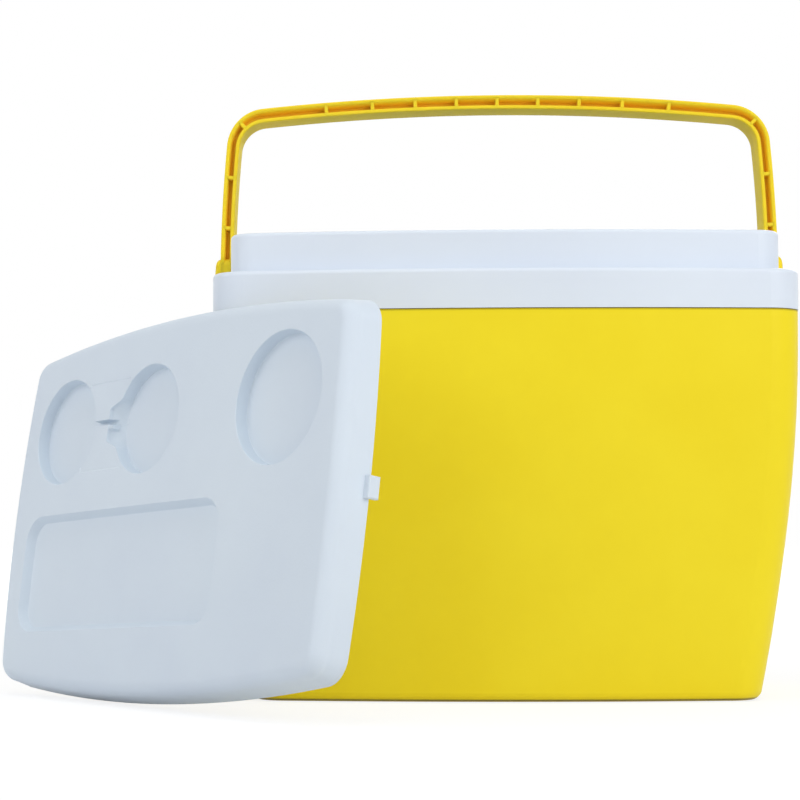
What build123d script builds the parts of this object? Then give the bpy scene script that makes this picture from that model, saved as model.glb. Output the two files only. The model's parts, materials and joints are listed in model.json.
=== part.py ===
from build123d import *
import math
import os

os.makedirs("parts", exist_ok=True)

# ---------------------------------------------------------------------------
# Driving dimensions, millimetres. X runs along the box, -Y is the front, +Z up.
# Half sizes are taken at the middle of a side. Every plan outline shares the
# same bow: its long sides bulge by bow_y and its short sides by bow_x.
# ---------------------------------------------------------------------------
bow_x = 6.8
bow_y = 15.8

flange_half_x = 240.0
flange_half_y = 167.0
flange_corner = 30.0
flange_base_z = 312.0
flange_height = 31.7
tier_height = 32.4
ledge_z = flange_base_z + flange_height
rim_z = ledge_z + tier_height
ledge_width = 13.8
tier_half_x = flange_half_x - ledge_width
tier_half_y = flange_half_y - ledge_width
tier_corner = 22.0
collar_wall = 2.5
flange_fillet = 3.6
tier_fillet = 3.2
joint_gap = 0.4

# Outer shell: how far its side stands inside the flange outline at each height.
side_curve = (
    (0.0, 30.3),
    (45.0, 22.6),
    (112.0, 13.0),
    (181.0, 5.6),
    (246.0, 1.6),
    (flange_base_z - joint_gap, 0.5),
)
shell_wall = 2.5
shell_floor = 3.0
shell_corner = 29.0
shell_edge_radius = 9.0
lip_outer = 2.8
lip_inner = 4.8
lip_base_z = flange_base_z - 11.5
lip_top_z = flange_base_z + 7.5

# Inner liner and the insulation between it and the shell.
wall_build_up = 31.0
liner_wall = 2.0
liner_floor_z = 28.0
liner_corner = 20.0
liner_floor_radius = 9.0
liner_lip = 5.0
liner_lip_height = 2.2
foam_gap = 0.2
foam_side_gap = 5.0
foam_split_z = liner_floor_z - liner_wall - foam_gap

# Bail handle, drawn upright and folding forward on to the ledge.
eye_radius = 10.0
heel_gap = 0.5
pivot_y = -10.9
pivot_z = ledge_z + heel_gap + eye_radius
nest_gap = 1.2
handle_depth = 38.0
handle_thick = 10.2
handle_corner = 24.0
leg_bow = 7.6
grip_bow = 12.1
channel_wall = 2.6
channel_web = 2.5
hub_rise = 15.0
rib_thick = 1.8
grip_ribs = (0.0, 34.6, 70.1, 106.5, 146.1)
leg_rib_rises = (84.9, 41.5)
corner_rib_inset = (12.9, 14.0)
hub_outer_x = flange_half_x + 1.8
hub_edge_radius = 1.6
tongue_relief_radii = (14.0, 36.0)
tongue_side_gap = 0.7

# Hinge pins and their caps.
pin_radius = 4.0
running_gap = 0.05
pin_boss_gap = 1.2
pin_boss_floor = 1.0
pin_boss_radius = 10.0
counterbore_radius = 7.5
counterbore_x = hub_outer_x - 6.0
pin_head_radius = 7.1
pin_head_x = counterbore_x + 0.2
pin_head_thick = 2.4
hub_cap_x = pin_head_x + pin_head_thick + joint_gap
hub_cap_thick = 3.4

# Lid, drawn in its own frame: u along its length, v across it, w out of its face.
lid_overhang = 1.7
lid_half_u = tier_half_x + lid_overhang
lid_half_v = tier_half_y + lid_overhang
lid_corner = 22.0
lid_thick = 30.0
lid_draft_inset = 8.0
lid_wall = 2.4
lid_edge_radius = 7.0
lid_turn = 50.7
lid_lean = 10.0
lid_roll = 3.2
lid_floor_gap = 0.15
lid_rest_gap = 0.4
lid_shift = -0.4
cup_row_v = 68.9
wide_cup_radius = 51.3
cup_radius = 44.7
cup_edge_gap = 31.7
cup_pitch = 122.5
wide_cup_u = lid_half_u - cup_edge_gap - wide_cup_radius
left_cup_u = cup_edge_gap + cup_radius - lid_half_u
middle_cup_u = left_cup_u + cup_pitch
cups = (
    (wide_cup_u, wide_cup_radius),
    (middle_cup_u, cup_radius),
    (left_cup_u, cup_radius),
)
cup_depth = 10.0
cup_draft = 8.0
tray_size = (282.4, 97.0)
tray_edge_gap = 33.3
tray_centre = (tray_edge_gap + tray_size[0] / 2 - lid_half_u, -50.3)
tray_corner = 22.0
tray_depth = 7.0
tray_draft = 38.0
plaque_centre = (middle_cup_u - 61.2, cup_row_v)
plaque_size = (62.0, 62.0)
plaque_depth = 0.8
opener_notch_reach = 56.5
opener_notch_half = 14.0
opener_notch_flare = 12.0
opener_slot = (40.0, 4.4)
opener_slot_centre = (middle_cup_u - 59.7, cup_row_v + 2.7)
opener_slot_depth = 6.5
pan_gap = 0.4
pan_plate = 2.2
pan_plate_w = 0.4
plug_clearance = 1.4
plug_corner = 18.0
plug_depth = 10.0
plug_wall = 2.0
plug_edge_radius = 3.0
tongue_width = 16.6
tongue_outer_u = lid_half_u + 4.8
tongue_face_u = lid_half_u + 0.3
tongue_root_u = lid_half_u - 5.0
tongue_clearance = 0.4
tongue_low_w = -5.0
tongue_high_w = 5.0
tongue_slot_low_w = 2.9
tongue_fit = 0.15
tongue_edge_radius = 1.2

# Ice packs and the vial tray that stand on the liner floor.
floor_gap = 0.3
pack_size = (120.0, 34.0, 190.0)
pack_end_gap = 20.0
pack_wall_gap = 12.4
pack_edge_radius = 6.0
pack_panel = (84.0, 120.0)
pack_panel_depth = 2.0
pack_neck_radius = 9.0
pack_neck_height = 8.0
pack_neck_offset = 38.0
pack_cap_radius = 13.0
pack_cap_height = 11.0
pack_cap_top = 2.4
pack_cap_flutes = 12
pack_cap_flute_radius = 1.3
tray_box_height = 58.0
tray_box_end_gap = 33.5
tray_box_side_gap = 8.0
tray_box_wall = 2.5
tray_box_corner = 10.0
tray_box_edge = 1.0
finger_notch = (30.0, 14.0)


def rim_face(half_x, half_y, corner, bulge_x=bow_x, bulge_y=bow_y):
    """Plan outline with four gently bowed sides and rounded corners."""
    end_x = half_x - bulge_x
    end_y = half_y - bulge_y
    with BuildSketch() as outline:
        with BuildLine():
            ThreePointArc((-end_x, -end_y), (0, -half_y), (end_x, -end_y))
            ThreePointArc((end_x, -end_y), (half_x, 0), (end_x, end_y))
            ThreePointArc((end_x, end_y), (0, half_y), (-end_x, end_y))
            ThreePointArc((-end_x, end_y), (-half_x, 0), (-end_x, -end_y))
        make_face()
        fillet(outline.vertices(), radius=corner)
    return outline.sketch


def side_inset(height):
    """Inset of the shell side at any height, read off the side curve."""
    if height >= side_curve[-1][0]:
        return side_curve[-1][1]
    for (low, inset_low), (high, inset_high) in zip(side_curve, side_curve[1:]):
        if height <= high:
            share = (height - low) / (high - low)
            return inset_low + share * (inset_high - inset_low)


def tub_sections(base_z, top_z, inward, corner):
    """Plan sections of a tub that follows the side curve, moved inward."""
    heights = [base_z]
    heights += [z for z, _ in side_curve if base_z + 12.0 < z < top_z - 12.0]
    heights += [top_z]
    sections = []
    for height in heights:
        inset = side_inset(height) + inward
        with BuildSketch(Plane.XY.offset(height)) as section:
            add(rim_face(flange_half_x - inset, flange_half_y - inset, corner))
        sections.append(section.sketch)
    return sections


# ---------------------------------------------------------------------------
# Outer shell: drafted tub with curved sides and a lip that enters the collar.
# ---------------------------------------------------------------------------
shell_top_z = side_curve[-1][0]
with BuildPart() as outer_shell:
    loft(sections=tub_sections(0.0, shell_top_z, 0.0, shell_corner))
    fillet(outer_shell.edges().group_by(Axis.Z)[0], radius=shell_edge_radius)
    loft(
        sections=tub_sections(shell_floor, shell_top_z, shell_wall, shell_corner - shell_wall),
        mode=Mode.SUBTRACT,
    )
    with BuildSketch(Plane.XY.offset(lip_base_z)):
        add(rim_face(flange_half_x - lip_outer, flange_half_y - lip_outer, shell_corner - lip_outer))
        add(
            rim_face(flange_half_x - lip_inner, flange_half_y - lip_inner, shell_corner - lip_inner),
            mode=Mode.SUBTRACT,
        )
    extrude(amount=lip_top_z - lip_base_z)

# ---------------------------------------------------------------------------
# Collar: flange, ledge and upper tier in one thin-walled moulding, with an
# internal boss behind each short side for the hinge pin.
# ---------------------------------------------------------------------------
mouth_inset = side_curve[-1][1] + wall_build_up
mouth_half_x = flange_half_x - mouth_inset
mouth_half_y = flange_half_y - mouth_inset
liner_inward = wall_build_up - liner_wall
pin_boss_inner_x = flange_half_x - side_curve[-1][1] - liner_inward + pin_boss_gap
pin_inner_x = pin_boss_inner_x + pin_boss_floor
with BuildPart() as collar:
    with BuildSketch(Plane.XY.offset(flange_base_z)):
        add(rim_face(flange_half_x, flange_half_y, flange_corner))
    extrude(amount=ledge_z - flange_base_z)
    with BuildSketch(Plane.XY.offset(ledge_z)):
        add(rim_face(tier_half_x, tier_half_y, tier_corner))
    extrude(amount=rim_z - ledge_z)
    fillet(collar.edges().group_by(Axis.Z)[-1], radius=tier_fillet)
    ledge_edges = collar.faces().filter_by(Axis.Z).sort_by(Axis.Z)[-2].outer_wire().edges()
    fillet(ledge_edges, radius=flange_fillet)
    with BuildSketch(Plane.XY.offset(flange_base_z)):
        add(
            rim_face(
                flange_half_x - collar_wall,
                flange_half_y - collar_wall,
                flange_corner - collar_wall,
            )
        )
    extrude(amount=ledge_z - flange_base_z - collar_wall, mode=Mode.SUBTRACT)
    with BuildSketch(Plane.XY.offset(flange_base_z)):
        add(rim_face(tier_half_x - collar_wall, tier_half_y - collar_wall, tier_corner - collar_wall))
    extrude(amount=rim_z - flange_base_z - collar_wall, mode=Mode.SUBTRACT)
    for side in (-1, 1):
        boss_plane = Plane(
            origin=(side * pin_boss_inner_x, pivot_y, pivot_z),
            x_dir=(0, 1, 0),
            z_dir=(side, 0, 0),
        )
        with BuildSketch(boss_plane):
            Circle(pin_boss_radius)
        extrude(amount=tier_half_x - collar_wall / 2 - pin_boss_inner_x)
        with BuildSketch(boss_plane):
            Circle(pin_radius)
        extrude(amount=tier_half_x - pin_boss_inner_x + collar_wall, mode=Mode.SUBTRACT)
    with BuildSketch(Plane.XY.offset(rim_z)):
        add(rim_face(mouth_half_x, mouth_half_y, liner_corner))
    extrude(amount=-2 * collar_wall, mode=Mode.SUBTRACT)

# ---------------------------------------------------------------------------
# Inner liner: the cold chamber, hung by a lip under the collar's top plate.
# ---------------------------------------------------------------------------
liner_top_z = rim_z - collar_wall - foam_gap
with BuildPart() as chamber_space:
    loft(sections=tub_sections(liner_floor_z, rim_z, wall_build_up, liner_corner))
    fillet(chamber_space.edges().group_by(Axis.Z)[0], radius=liner_floor_radius)

with BuildPart() as inner_liner:
    loft(
        sections=tub_sections(
            liner_floor_z - liner_wall, liner_top_z, liner_inward, liner_corner + liner_wall
        )
    )
    fillet(inner_liner.edges().group_by(Axis.Z)[0], radius=liner_floor_radius + liner_wall)
    lip_inset = side_curve[-1][1] + liner_inward - liner_lip
    with BuildSketch(Plane.XY.offset(liner_top_z)):
        add(rim_face(flange_half_x - lip_inset, flange_half_y - lip_inset, liner_corner + liner_lip))
    extrude(amount=-liner_lip_height)
    add(chamber_space.part, mode=Mode.SUBTRACT)

# ---------------------------------------------------------------------------
# Insulation: a wall ring reaching up inside the collar, and a base slab.
# ---------------------------------------------------------------------------
foam_top_z = liner_top_z - liner_lip_height - foam_gap
foam_inner = liner_inward - foam_gap
with BuildPart() as liner_space:
    loft(
        sections=tub_sections(
            liner_floor_z - liner_wall - 2 * foam_gap,
            rim_z,
            foam_inner,
            liner_corner + liner_wall + foam_gap,
        )
    )

with BuildPart() as wall_insulation:
    loft(
        sections=tub_sections(
            foam_split_z + foam_gap,
            ledge_z - collar_wall - foam_gap,
            foam_side_gap,
            shell_corner - foam_side_gap,
        )
    )
    tier_inset = collar_wall + foam_gap
    with BuildSketch(Plane.XY.offset(flange_base_z)):
        add(rim_face(tier_half_x - tier_inset, tier_half_y - tier_inset, tier_corner - tier_inset))
    extrude(amount=foam_top_z - flange_base_z)
    add(liner_space.part, mode=Mode.SUBTRACT)
    for side in (-1, 1):
        relief_plane = Plane(
            origin=(side * (pin_boss_inner_x - foam_gap), pivot_y, pivot_z),
            x_dir=(0, 1, 0),
            z_dir=(side, 0, 0),
        )
        with BuildSketch(relief_plane):
            Circle(pin_boss_radius + foam_gap)
        extrude(amount=tier_half_x - pin_boss_inner_x, mode=Mode.SUBTRACT)

with BuildPart() as base_insulation:
    loft(
        sections=tub_sections(
            shell_floor + foam_gap, foam_split_z, foam_side_gap + shell_edge_radius, liner_corner
        )
    )

# ---------------------------------------------------------------------------
# Bail handle: a ribbed channel bent to the plan of the collar, so that it lies
# on the ledge round the tier when it is folded forward.
# ---------------------------------------------------------------------------
loop_centre_z = pivot_z + pivot_y
loop_half_x = tier_half_x + nest_gap
loop_half_z = tier_half_y + nest_gap
loop_top_z = loop_centre_z + loop_half_z
channel_end_z = pivot_z + hub_rise
tongue_relief = tongue_outer_u + tongue_clearance - loop_half_x
band_front_y = pivot_y - eye_radius
band_rear_y = band_front_y + handle_depth
front_plane = Plane.XZ.offset(-band_front_y)

with BuildPart() as channel_space:
    with BuildSketch(front_plane):
        with Locations((0, loop_centre_z)):
            add(
                rim_face(
                    loop_half_x + handle_thick - channel_wall,
                    loop_half_z + handle_thick - channel_wall,
                    handle_corner + handle_thick - channel_wall,
                    leg_bow,
                    grip_bow,
                )
            )
            add(
                rim_face(
                    loop_half_x + channel_wall,
                    loop_half_z + channel_wall,
                    handle_corner + channel_wall,
                    leg_bow,
                    grip_bow,
                ),
                mode=Mode.SUBTRACT,
            )
        with Locations((0, channel_end_z - loop_half_z)):
            Rectangle(3 * loop_half_x, 2 * loop_half_z, mode=Mode.SUBTRACT)
    extrude(amount=-(handle_depth - channel_web))
    with BuildSketch(front_plane):
        for offset_x in grip_ribs:
            for side in (-1, 1):
                with Locations((side * offset_x, loop_top_z)):
                    Rectangle(rib_thick, 4 * handle_thick)
        for rise in leg_rib_rises:
            for side in (-1, 1):
                with Locations((side * loop_half_x, pivot_z + rise)):
                    Rectangle(4 * handle_thick, rib_thick)
        corner_rib_x = loop_half_x - corner_rib_inset[0]
        corner_rib_z = loop_top_z - corner_rib_inset[1]
        for side in (-1, 1):
            with Locations(Location((side * corner_rib_x, corner_rib_z, 0), (0, 0, side * 45))):
                Rectangle(4 * handle_thick, rib_thick)
    extrude(amount=-handle_depth, mode=Mode.SUBTRACT)


def make_hub(side):
    """Hub block at the foot of a leg, rounded about the pivot at its front."""
    hub_plane = Plane(
        origin=(side * loop_half_x, pivot_y, pivot_z),
        x_dir=(0, side, 0),
        z_dir=(side, 0, 0),
    )
    with BuildPart() as hub:
        with BuildSketch(hub_plane):
            with Locations((side * (handle_depth / 2 - eye_radius), -eye_radius)):
                Rectangle(handle_depth, hub_rise + eye_radius, align=(Align.CENTER, Align.MIN))
            with Locations((side * -eye_radius / 2, -eye_radius / 2)):
                Rectangle(eye_radius, eye_radius, mode=Mode.SUBTRACT)
            Circle(eye_radius)
        extrude(amount=hub_outer_x - loop_half_x)
        outer_face = hub.faces().sort_by(Axis((0, 0, 0), (side, 0, 0)))[-1]
        fillet(outer_face.edges(), radius=hub_edge_radius)
    return hub.part


with BuildPart() as handle:
    with BuildSketch(front_plane):
        with Locations((0, loop_centre_z)):
            add(
                rim_face(
                    loop_half_x + handle_thick,
                    loop_half_z + handle_thick,
                    handle_corner + handle_thick,
                    leg_bow,
                    grip_bow,
                )
            )
            add(
                rim_face(loop_half_x, loop_half_z, handle_corner, leg_bow, grip_bow),
                mode=Mode.SUBTRACT,
            )
        with Locations((0, pivot_z - loop_half_z)):
            Rectangle(3 * loop_half_x, 2 * loop_half_z, mode=Mode.SUBTRACT)
    extrude(amount=-handle_depth)
    add(channel_space.part, mode=Mode.SUBTRACT)
    for side in (-1, 1):
        add(make_hub(side))
        relief_plane = Plane(
            origin=(side * (loop_half_x - handle_thick), pivot_y, pivot_z),
            x_dir=(0, side, 0),
            z_dir=(side, 0, 0),
        )
        relief_front = -(tongue_width / 2 + tongue_side_gap) - pivot_y
        with BuildSketch(relief_plane):
            Circle(tongue_relief_radii[1])
            Circle(tongue_relief_radii[0], mode=Mode.SUBTRACT)
            with Locations((side * relief_front, 0)):
                Rectangle(
                    2 * tongue_relief_radii[1],
                    2 * tongue_relief_radii[1],
                    align=(Align.MAX if side > 0 else Align.MIN, Align.CENTER),
                    mode=Mode.SUBTRACT,
                )
        extrude(amount=handle_thick + tongue_relief, mode=Mode.SUBTRACT)
    for side in (-1, 1):
        bore_plane = Plane(
            origin=(side * (loop_half_x - 1.0), pivot_y, pivot_z),
            x_dir=(0, 1, 0),
            z_dir=(side, 0, 0),
        )
        with BuildSketch(bore_plane):
            Circle(pin_radius + running_gap)
        extrude(amount=hub_outer_x - loop_half_x + 2.0, mode=Mode.SUBTRACT)
        counterbore_plane = Plane(
            origin=(side * counterbore_x, pivot_y, pivot_z),
            x_dir=(0, 1, 0),
            z_dir=(side, 0, 0),
        )
        with BuildSketch(counterbore_plane):
            Circle(counterbore_radius)
        extrude(amount=hub_outer_x - counterbore_x + 1.0, mode=Mode.SUBTRACT)


def pin_plane(side, distance_x):
    """Plane across the pin axis, facing outward on the chosen side."""
    return Plane(origin=(side * distance_x, pivot_y, pivot_z), x_dir=(0, 1, 0), z_dir=(side, 0, 0))


def make_pin(side):
    """Headed hinge pin pressed into the collar boss."""
    with BuildPart() as pin:
        with BuildSketch(pin_plane(side, pin_inner_x)):
            Circle(pin_radius)
        extrude(amount=pin_head_x - pin_inner_x)
        with BuildSketch(pin_plane(side, pin_head_x)):
            Circle(pin_head_radius)
        extrude(amount=pin_head_thick)
        head_edges = pin.edges().filter_by(GeomType.CIRCLE).group_by(Axis.X)
        chamfer(head_edges[0] + head_edges[-1], length=0.6)
    return pin.part


def make_hub_cap(side):
    """Domed cap pressed into the hub over the pin head."""
    with BuildPart() as cap:
        with BuildSketch(pin_plane(side, hub_cap_x)):
            Circle(counterbore_radius)
        extrude(amount=hub_cap_thick)
        outer_edge = cap.edges().filter_by(GeomType.CIRCLE).sort_by(Axis.X)
        fillet(outer_edge[-1] if side > 0 else outer_edge[0], radius=1.2)
    return cap.part


handle_pin_left = make_pin(-1)
handle_pin_right = make_pin(1)
hub_cap_left = make_hub_cap(-1)
hub_cap_right = make_hub_cap(1)

# ---------------------------------------------------------------------------
# Lid: its frame stands it on its long edge, leaning on the front left corner.
# ---------------------------------------------------------------------------
lid_u = Vector(1, 0, 0).rotate(Axis.Z, -lid_turn)
lid_w = Vector(0, -1, 0).rotate(Axis.Z, -lid_turn).rotate(Axis((0, 0, 0), lid_u), -lid_lean)
lid_u = lid_u.rotate(Axis((0, 0, 0), lid_w), lid_roll)
lid_v = lid_w.cross(lid_u)
lid_end_u = lid_half_u - bow_x
lid_edge_curve = (lid_end_u**2 + bow_y**2) / (2 * bow_y)
plug_half_u = mouth_half_x - plug_clearance
plug_half_v = mouth_half_y - plug_clearance
lid_drop = lid_edge_curve * math.hypot(lid_u.Z, lid_v.Z) - (lid_edge_curve - lid_half_v) * lid_v.Z
lid_centre_z = lid_drop + lid_floor_gap
rest_z = min(lid_centre_z + (plug_half_v - plug_edge_radius) * lid_v.Z, ledge_z)
rest_inset = side_inset(rest_z) if rest_z < shell_top_z else 0.0
rest_outline = rim_face(flange_half_x - rest_inset, flange_half_y - rest_inset, shell_corner)
rest_reach = rest_outline.rotate(Axis.Z, 90 + lid_turn).bounding_box().max.X
plug_rise = plug_depth + lid_rest_gap - (lid_centre_z - rest_z) * lid_w.Z
lid_reach = rest_reach + plug_rise / math.hypot(lid_w.X, lid_w.Y)
lid_outward = Vector(0, -1, 0).rotate(Axis.Z, -lid_turn)
lid_along = Vector(1, 0, 0).rotate(Axis.Z, -lid_turn)
box_corner = Vector(bow_x - flange_half_x, bow_y - flange_half_y, 0)
lid_centre = lid_outward * lid_reach + lid_along * (box_corner.dot(lid_along) + lid_shift)
lid_centre = lid_centre + Vector(0, 0, lid_centre_z)
lid_plane = Plane(origin=lid_centre, x_dir=lid_u, z_dir=lid_w)
lid_axis = Axis(lid_centre, lid_w)


def skirt_inset(height_w):
    """How far the lid's drafted skirt has come in at a height above its edge."""
    return lid_draft_inset * height_w / lid_thick


def lid_block(inset, base_w, top_w, edge_radius):
    """Drafted lid block with rounded upper edges, inset from the lid's outside."""
    with BuildPart() as block:
        sections = []
        for height_w in (base_w, top_w):
            reach = inset + skirt_inset(height_w)
            with BuildSketch(lid_plane.offset(height_w)) as section:
                add(rim_face(lid_half_u - reach, lid_half_v - reach, lid_corner - inset))
            sections.append(section.sketch)
        loft(sections=sections)
        fillet(block.edges().group_by(lid_axis)[-1], radius=edge_radius)
    return block.part


def recess_tools(margin, top_w):
    """Cup, tray and opener hollows, grown by a margin for the inside of the cover."""
    with BuildPart() as tools:
        for centre_u, radius in cups:
            floor_w = lid_thick - cup_depth - margin
            draft_rise = (top_w - floor_w) * math.tan(math.radians(cup_draft))
            with BuildSketch(lid_plane.offset(floor_w)):
                with Locations((centre_u, cup_row_v)):
                    Circle(radius + margin - draft_rise)
            extrude(amount=top_w - floor_w, taper=-cup_draft)
        tray_floor_w = lid_thick - tray_depth - margin
        tray_rise = (top_w - tray_floor_w) * math.tan(math.radians(tray_draft))
        with BuildSketch(lid_plane.offset(tray_floor_w)):
            with Locations(tray_centre):
                RectangleRounded(
                    tray_size[0] + 2 * margin - 2 * tray_rise,
                    tray_size[1] + 2 * margin - 2 * tray_rise,
                    tray_corner - tray_rise,
                )
        extrude(amount=top_w - tray_floor_w, taper=-tray_draft)
        with BuildSketch(lid_plane.offset(top_w)):
            outer_u = middle_cup_u - opener_notch_reach - margin
            outer_half = opener_notch_half + margin
            inner_half = outer_half + opener_notch_flare
            with BuildLine():
                Polyline(
                    (outer_u, cup_row_v - outer_half),
                    (middle_cup_u - cup_radius / 2, cup_row_v - inner_half),
                    (middle_cup_u - cup_radius / 2, cup_row_v + inner_half),
                    (outer_u, cup_row_v + outer_half),
                    close=True,
                )
            make_face()
        extrude(amount=lid_thick - cup_depth - margin - top_w)
        with BuildSketch(lid_plane.offset(top_w)):
            with Locations(opener_slot_centre):
                Rectangle(opener_slot[0] + 2 * margin, opener_slot[1] + 2 * margin)
        extrude(amount=lid_thick - opener_slot_depth - margin - top_w)
    return tools.part


with BuildPart() as lid_cavity:
    add(lid_block(lid_wall, -1.0, lid_thick - lid_wall, lid_edge_radius - lid_wall))
    add(recess_tools(lid_wall, lid_thick), mode=Mode.SUBTRACT)

with BuildPart() as lid_cover:
    add(lid_block(0.0, 0.0, lid_thick, lid_edge_radius))
    add(recess_tools(0.0, lid_thick + 0.01), mode=Mode.SUBTRACT)
    with BuildSketch(lid_plane.offset(lid_thick - plaque_depth)):
        with Locations(plaque_centre):
            Rectangle(*plaque_size)
    extrude(amount=plaque_depth + 1.0, mode=Mode.SUBTRACT)
    add(lid_cavity.part, mode=Mode.SUBTRACT)
    with BuildSketch(lid_plane.offset(tongue_slot_low_w)):
        Rectangle(2 * lid_half_u + 10.0, tongue_width + 2 * tongue_fit)
    extrude(amount=tongue_high_w + tongue_fit - tongue_slot_low_w, mode=Mode.SUBTRACT)

with BuildPart() as lid_pan:
    pan_inset = lid_wall + pan_gap + skirt_inset(pan_plate_w + pan_plate)
    with BuildSketch(lid_plane.offset(pan_plate_w)):
        add(rim_face(lid_half_u - pan_inset, lid_half_v - pan_inset, lid_corner - pan_inset))
    extrude(amount=pan_plate)
    with BuildSketch(lid_plane.offset(pan_plate_w)):
        add(rim_face(plug_half_u, plug_half_v, plug_corner))
    extrude(amount=-plug_depth - pan_plate_w)
    fillet(lid_pan.edges().group_by(lid_axis)[0], radius=plug_edge_radius)
    with BuildSketch(lid_plane.offset(pan_plate_w + pan_plate)):
        add(rim_face(plug_half_u - plug_wall, plug_half_v - plug_wall, plug_corner - plug_wall))
    extrude(amount=-plug_depth - pan_plate_w - pan_plate + plug_wall, mode=Mode.SUBTRACT)

with BuildPart() as lid_insulation:
    foam_inset = lid_wall + foam_gap + pan_gap
    foam_base_w = pan_plate_w + pan_plate + foam_gap
    add(
        lid_block(
            foam_inset, foam_base_w, lid_thick - foam_inset, lid_edge_radius - foam_inset
        )
    )
    add(recess_tools(foam_inset, lid_thick), mode=Mode.SUBTRACT)
    with BuildSketch(lid_plane.offset(foam_base_w)):
        add(
            rim_face(
                plug_half_u - plug_wall - foam_gap,
                plug_half_v - plug_wall - foam_gap,
                plug_corner - plug_wall - foam_gap,
            )
        )
    extrude(amount=-(foam_base_w + plug_depth - plug_wall - foam_gap))
    for side in (-1, 1):
        with BuildSketch(lid_plane.offset(foam_base_w)):
            with Locations((side * lid_half_u, 0)):
                Rectangle(4 * (lid_half_u - tongue_root_u), tongue_width + 2.0)
        extrude(amount=tongue_high_w + foam_gap - foam_base_w, mode=Mode.SUBTRACT)


def make_tongue(side):
    """Lid tongue: passes through the skirt and hangs just below its edge."""
    with BuildPart() as tongue:
        with BuildSketch(lid_plane.offset(tongue_slot_low_w + tongue_fit)):
            with Locations((side * (tongue_root_u + tongue_outer_u) / 2, 0)):
                Rectangle(tongue_outer_u - tongue_root_u, tongue_width)
        extrude(amount=tongue_high_w - tongue_slot_low_w - tongue_fit)
        with BuildSketch(lid_plane.offset(tongue_low_w)):
            with Locations((side * (tongue_face_u + tongue_outer_u) / 2, 0)):
                Rectangle(tongue_outer_u - tongue_face_u, tongue_width)
        extrude(amount=tongue_high_w - tongue_low_w)
        outward = Axis(lid_centre, lid_plane.x_dir * side)
        fillet(tongue.faces().sort_by(outward)[-1].edges(), radius=tongue_edge_radius)
    return tongue.part


lid_tongue_left = make_tongue(-1)
lid_tongue_right = make_tongue(1)

# ---------------------------------------------------------------------------
# Ice packs with screw caps, and the vial tray between them.
# ---------------------------------------------------------------------------
stand_z = liner_floor_z + floor_gap
pack_top_z = stand_z + pack_size[2]
floor_inset = side_inset(liner_floor_z) + wall_build_up
pack_centre_x = (pack_size[0] + pack_end_gap) / 2
pack_centre_y = flange_half_y - floor_inset - pack_wall_gap - pack_size[1] / 2
tray_box_half_x = flange_half_x - floor_inset - tray_box_end_gap
tray_box_half_y = pack_centre_y - pack_size[1] / 2 - tray_box_side_gap


def make_pack(centre_x, centre_y):
    """Flat water bottle with a filling neck at one end of its top."""
    with BuildPart() as pack:
        with BuildSketch(Plane.XY.offset(stand_z)):
            with Locations((centre_x, centre_y)):
                Rectangle(pack_size[0], pack_size[1])
        extrude(amount=pack_size[2])
        fillet(pack.edges(), radius=pack_edge_radius)
        for side in (-1, 1):
            face_y = centre_y + side * pack_size[1] / 2
            with BuildSketch(Plane.XZ.offset(-face_y)):
                with Locations((centre_x, stand_z + pack_size[2] / 2)):
                    RectangleRounded(pack_panel[0], pack_panel[1], pack_edge_radius)
            extrude(amount=side * pack_panel_depth, mode=Mode.SUBTRACT)
        neck_x = centre_x + math.copysign(pack_neck_offset, centre_x)
        with BuildSketch(Plane.XY.offset(pack_top_z - pack_edge_radius)):
            with Locations((neck_x, centre_y)):
                Circle(pack_neck_radius)
        extrude(amount=pack_neck_height + pack_edge_radius)
    return pack.part


def make_pack_cap(centre_x, centre_y):
    """Fluted screw cap over the filling neck."""
    neck_x = centre_x + math.copysign(pack_neck_offset, centre_x)
    with BuildPart() as cap:
        with BuildSketch(Plane.XY.offset(pack_top_z + floor_gap)):
            with Locations((neck_x, centre_y)):
                Circle(pack_cap_radius)
                with PolarLocations(pack_cap_radius, pack_cap_flutes):
                    Circle(pack_cap_flute_radius, mode=Mode.SUBTRACT)
        extrude(amount=pack_cap_height)
        with BuildSketch(Plane.XY.offset(pack_top_z + floor_gap)):
            with Locations((neck_x, centre_y)):
                Circle(pack_neck_radius + running_gap)
        extrude(amount=pack_cap_height - pack_cap_top, mode=Mode.SUBTRACT)
    return cap.part


with BuildPart() as vial_tray:
    with BuildSketch(Plane.XY.offset(stand_z)):
        RectangleRounded(2 * tray_box_half_x, 2 * tray_box_half_y, tray_box_corner)
    extrude(amount=tray_box_height)
    with BuildSketch(Plane.XY.offset(stand_z + tray_box_wall)):
        RectangleRounded(
            2 * (tray_box_half_x - tray_box_wall),
            2 * (tray_box_half_y - tray_box_wall),
            tray_box_corner - tray_box_wall,
        )
    extrude(amount=tray_box_height, mode=Mode.SUBTRACT)
    fillet(vial_tray.edges().group_by(Axis.Z)[-1], radius=tray_box_edge)
    with BuildSketch(Plane.XY.offset(stand_z)):
        Rectangle(tray_box_wall, 2 * tray_box_half_y - tray_box_wall)
    extrude(amount=tray_box_height - finger_notch[1])
    with BuildSketch(Plane.YZ.offset(-2 * tray_box_half_x)):
        with Locations((0, stand_z + tray_box_height)):
            SlotOverall(finger_notch[0], 2 * finger_notch[1])
    extrude(amount=4 * tray_box_half_x, mode=Mode.SUBTRACT)

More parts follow.
